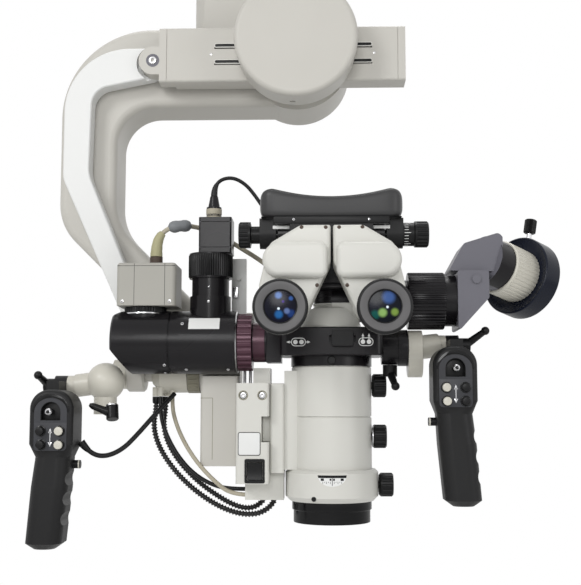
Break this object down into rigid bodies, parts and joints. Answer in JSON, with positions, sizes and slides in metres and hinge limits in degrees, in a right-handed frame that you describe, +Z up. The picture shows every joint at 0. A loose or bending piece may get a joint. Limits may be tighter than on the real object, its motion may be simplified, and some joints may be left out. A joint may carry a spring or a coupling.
{
  "type": "surgical microscope",
  "caption": "Overhead surgical microscope head with parallelogram balance arm, tilting binocular, camera ports, assistant port and hand grips.",
  "frame": {"origin": "centre of the mounting face on top, on the swivel axis; everything hangs below it", "axes": "+X to the assistant port's side (viewer's right), +Y away from the viewer, +Z up"},
  "size_m": [0.552, 0.302, 0.663],
  "materials": {
    "flange_metal": "satin",
    "warm_grey_paint": "satin",
    "near_white_paint": "satin",
    "warm_white_paint": "satin",
    "olive_grey_plastic": "fine texture",
    "black_anodised": "anodised satin",
    "plum_anodised": "anodised satin",
    "slate_paint": "satin",
    "dark_blue_black": "satin",
    "black_plastic": "matte",
    "cream_plastic": "soft gloss",
    "grey_beige_plastic": "fine texture",
    "black_rubber": "matte",
    "grey_rubber": "matte",
    "beige_rubber": "matte",
    "coated_glass": "polished, coated"
  },
  "bodies": {
    "stand_flange": {"mount_flange": "flange_metal"},
    "arm": {"c_arm": "warm_grey_paint"},
    "beam": {"balance_rail": "warm_grey_paint", "drum_housing": "warm_grey_paint", "drum_cover": "warm_white_paint"},
    "link": {"parallel_link": "near_white_paint"},
    "crank": {"carrier": "near_white_paint", "tilt_housing": "cream_plastic", "conduit_outer": "grey_rubber", "conduit_inner": "grey_rubber", "lead_black": "black_rubber", "lead_beige": "beige_rubber"},
    "lock_ring": {"tilt_lock_ring": "olive_grey_plastic"},
    "column": {"tilt_column": "warm_grey_paint", "slide_block": "warm_white_paint"},
    "rocker": {"rocker_switch": "black_plastic"},
    "scope": {"slide_carriage": "warm_white_paint", "zoom_housing": "warm_white_paint", "focus_housing": "warm_white_paint", "objective_ring": "black_anodised", "objective_lens": "coated_glass", "beam_splitter": "black_anodised", "binocular_base": "warm_white_paint", "video_tube": "black_anodised", "camera_cube": "black_anodised", "camera_box": "grey_beige_plastic", "camera_cable": "black_rubber", "camera_box_cable": "beige_rubber"},
    "zoom_control": {"zoom_knob": "black_plastic"},
    "aperture_control": {"aperture_knob": "black_plastic"},
    "focus_control": {"focus_knob": "black_plastic"},
    "splitter_slider": {"splitter_lever": "black_plastic"},
    "release_button": {"lock_button": "black_plastic"},
    "port_lever": {"port_clamp_lever": "black_plastic"},
    "binocular_head": {"tilt_saddle": "black_rubber"},
    "distance_knob_left": {"pd_knob_left": "black_plastic"},
    "distance_knob_right": {"pd_knob_right": "black_plastic"},
    "prism_left": {"prism_cover_left": "warm_white_paint"},
    "prism_right": {"prism_cover_right": "warm_white_paint"},
    "eye_left": {"eyepiece_left": "black_rubber"},
    "eye_right": {"eyepiece_right": "black_rubber"},
    "camera_clamp": {"clamp_ring": "plum_anodised"},
    "assistant_port": {"ribbed_coupling": "black_anodised", "angled_block": "slate_paint", "port_dish": "dark_blue_black"},
    "assistant_focus": {"focus_ring": "cream_plastic"},
    "assistant_lock": {"lock_screw": "black_anodised"},
    "arm_left": {"handle_arm_left": "cream_plastic"},
    "handle_left": {"grip_left": "black_rubber", "handle_cable": "black_rubber"},
    "stick_left": {"joystick_left": "black_plastic"},
    "thumb_left": {"thumb_buttons_left": "cream_plastic"},
    "trigger_left": {"side_button_left": "black_plastic"},
    "clamp_left": {"clamp_lever_left": "black_plastic"},
    "arm_right": {"handle_arm_right": "cream_plastic"},
    "handle_right": {"grip_right": "black_rubber"},
    "stick_right": {"joystick_right": "black_plastic"},
    "thumb_right": {"thumb_buttons_right": "cream_plastic"},
    "trigger_right": {"side_button_right": "black_plastic"},
    "clamp_right": {"clamp_lever_right": "black_plastic"}
  },
  "joints": [
    {"name": "arm_swivel", "type": "hinge", "parent": "stand_flange", "child": "arm", "pos_m": [0, 0, -0.02], "axis": [0, 0, 1], "range_deg": [-160, 160]},
    {"name": "beam_swing", "type": "hinge", "parent": "arm", "child": "beam", "pos_m": [0.067, -0.06, -0.125], "axis": [0, 1, 0], "range_deg": [-25, 25]},
    {"name": "link_swing", "type": "hinge", "parent": "beam", "child": "link", "pos_m": [-0.094, -0.05, -0.137], "axis": [0, 1, 0], "range_deg": [-25, 25]},
    {"name": "crank_swing", "type": "hinge", "parent": "arm", "child": "crank", "pos_m": [0.057, -0.045, -0.434], "axis": [0, 1, 0], "range_deg": [-25, 25]},
    {"name": "tilt_lock_turn", "type": "hinge", "parent": "column", "child": "lock_ring", "pos_m": [-0.045, -0.059, -0.487], "axis": [1, 0, 0], "range_deg": [-90, 90]},
    {"name": "column_tilt", "type": "hinge", "parent": "crank", "child": "column", "pos_m": [-0.04, -0.059, -0.487], "axis": [1, 0, 0], "range_deg": [-5, 45], "deforming": ["conduit_outer", "conduit_inner", "lead_black", "lead_beige", "handle_cable"]},
    {"name": "rocker_tip", "type": "hinge", "parent": "column", "child": "rocker", "pos_m": [0.0255, -0.127, -0.587], "axis": [1, 0, 0], "range_deg": [-10, 10]},
    {"name": "scope_slide", "type": "slide", "parent": "column", "child": "scope", "axis": [0, -1, 0], "range_m": [0, 0.02]},
    {"name": "zoom_turn", "type": "hinge", "parent": "scope", "child": "zoom_control", "pos_m": [0.15, -0.09, -0.5], "axis": [1, 0, 0], "continuous": true},
    {"name": "aperture_turn", "type": "hinge", "parent": "scope", "child": "aperture_control", "pos_m": [0.15, -0.09, -0.553], "axis": [1, 0, 0], "continuous": true},
    {"name": "focus_turn", "type": "hinge", "parent": "scope", "child": "focus_control", "pos_m": [0.155, -0.09, -0.603], "axis": [1, 0, 0], "continuous": true},
    {"name": "splitter_slide", "type": "slide", "parent": "scope", "child": "splitter_slider", "axis": [1, 0, 0], "range_m": [-0.008, 0.008]},
    {"name": "release_press", "type": "slide", "parent": "scope", "child": "release_button", "axis": [0, 1, 0], "range_m": [0, 0.002], "stiffness_N_per_m": 400, "springref_m": -0.001},
    {"name": "port_clamp_turn", "type": "hinge", "parent": "scope", "child": "port_lever", "pos_m": [0.165, -0.104, -0.485], "axis": [0, 0, 1], "range_deg": [-40, 40]},
    {"name": "binocular_tilt", "type": "hinge", "parent": "scope", "child": "binocular_head", "pos_m": [0.104, -0.135, -0.346], "axis": [-1, 0, 0], "range_deg": [0, 50], "deforming": ["camera_cable", "camera_box_cable"]},
    {"name": "distance_turn_left", "type": "hinge", "parent": "binocular_head", "child": "distance_knob_left", "pos_m": [0.02, -0.135, -0.346], "axis": [1, 0, 0], "continuous": true},
    {"name": "distance_turn_right", "type": "hinge", "parent": "binocular_head", "child": "distance_knob_right", "pos_m": [0.19, -0.135, -0.346], "axis": [1, 0, 0], "continuous": true},
    {"name": "prism_turn_left", "type": "hinge", "parent": "binocular_head", "child": "prism_left", "pos_m": [0.0854, -0.161, -0.382], "axis": [0, -1, 0], "range_deg": [0, 18]},
    {"name": "prism_turn_right", "type": "hinge", "parent": "binocular_head", "child": "prism_right", "pos_m": [0.1226, -0.161, -0.382], "axis": [0, 1, 0], "range_deg": [0, 18]},
    {"name": "eye_turn_left", "type": "hinge", "parent": "prism_left", "child": "eye_left", "pos_m": [0.0555, -0.2, -0.4295], "axis": [0, 1, 0], "continuous": true},
    {"name": "eye_turn_right", "type": "hinge", "parent": "prism_right", "child": "eye_right", "pos_m": [0.1525, -0.2, -0.4295], "axis": [0, 1, 0], "continuous": true},
    {"name": "camera_clamp_turn", "type": "hinge", "parent": "scope", "child": "camera_clamp", "pos_m": [0.014, -0.104, -0.455], "axis": [1, 0, 0], "continuous": true},
    {"name": "assistant_swing", "type": "hinge", "parent": "scope", "child": "assistant_port", "pos_m": [0.2, -0.104, -0.412], "axis": [1, 0, 0], "range_deg": [-15, 25]},
    {"name": "assistant_focus_turn", "type": "hinge", "parent": "assistant_port", "child": "assistant_focus", "pos_m": [0.2793, -0.095, -0.3744], "axis": [0.7464, 0.6263, -0.225], "continuous": true},
    {"name": "assistant_lock_turn", "type": "hinge", "parent": "assistant_port", "child": "assistant_lock", "pos_m": [0.3203, -0.0606, -0.34263], "axis": [0.1723, 0.1446, 0.9744], "continuous": true},
    {"name": "left_arm_turn", "type": "hinge", "parent": "column", "child": "arm_left", "pos_m": [-0.12, -0.059, -0.487], "axis": [1, 0, 0], "range_deg": [-4, 24], "deforming": ["handle_cable"]},
    {"name": "left_grip_turn", "type": "hinge", "parent": "arm_left", "child": "handle_left", "pos_m": [-0.174, -0.098, -0.5], "axis": [1, 0, 0], "range_deg": [-10, 20], "deforming": ["handle_cable"]},
    {"name": "left_stick_tip", "type": "hinge", "parent": "handle_left", "child": "stick_left", "pos_m": [-0.176, -0.1583, -0.527], "axis": [1, 0, 0], "range_deg": [-8, 8], "stiffness_Nm_per_rad": 0.5},
    {"name": "left_thumb_press", "type": "slide", "parent": "handle_left", "child": "thumb_left", "axis": [0, 1, 0], "range_m": [0, 0.0015], "stiffness_N_per_m": 500, "springref_m": -0.001},
    {"name": "left_side_press", "type": "slide", "parent": "handle_left", "child": "trigger_left", "axis": [-1, 0, 0], "range_m": [0, 0.002], "stiffness_N_per_m": 500, "springref_m": -0.001},
    {"name": "left_clamp_turn", "type": "hinge", "parent": "handle_left", "child": "clamp_left", "pos_m": [-0.188, -0.098, -0.5], "axis": [1, 0, 0], "range_deg": [-30, 30]},
    {"name": "right_arm_turn", "type": "hinge", "parent": "scope", "child": "arm_right", "pos_m": [0.19, -0.104, -0.461], "axis": [1, 0, 0], "range_deg": [-15, 20]},
    {"name": "right_grip_turn", "type": "hinge", "parent": "arm_right", "child": "handle_right", "pos_m": [0.224, -0.098, -0.458], "axis": [1, 0, 0], "range_deg": [-10, 20]},
    {"name": "right_stick_tip", "type": "hinge", "parent": "handle_right", "child": "stick_right", "pos_m": [0.226, -0.1583, -0.484], "axis": [1, 0, 0], "range_deg": [-8, 8], "stiffness_Nm_per_rad": 0.5},
    {"name": "right_thumb_press", "type": "slide", "parent": "handle_right", "child": "thumb_right", "axis": [0, 1, 0], "range_m": [0, 0.0015], "stiffness_N_per_m": 500, "springref_m": -0.001},
    {"name": "right_side_press", "type": "slide", "parent": "handle_right", "child": "trigger_right", "axis": [1, 0, 0], "range_m": [0, 0.002], "stiffness_N_per_m": 500, "springref_m": -0.001},
    {"name": "right_clamp_turn", "type": "hinge", "parent": "handle_right", "child": "clamp_right", "pos_m": [0.237, -0.098, -0.458], "axis": [1, 0, 0], "range_deg": [-30, 30]}
  ],
  "couplings": [
    {"joint": "link_swing", "follows": "beam_swing", "ratio": -1},
    {"joint": "crank_swing", "follows": "beam_swing", "ratio": 1},
    {"joint": "prism_turn_right", "follows": "prism_turn_left", "ratio": 1}
  ]
}
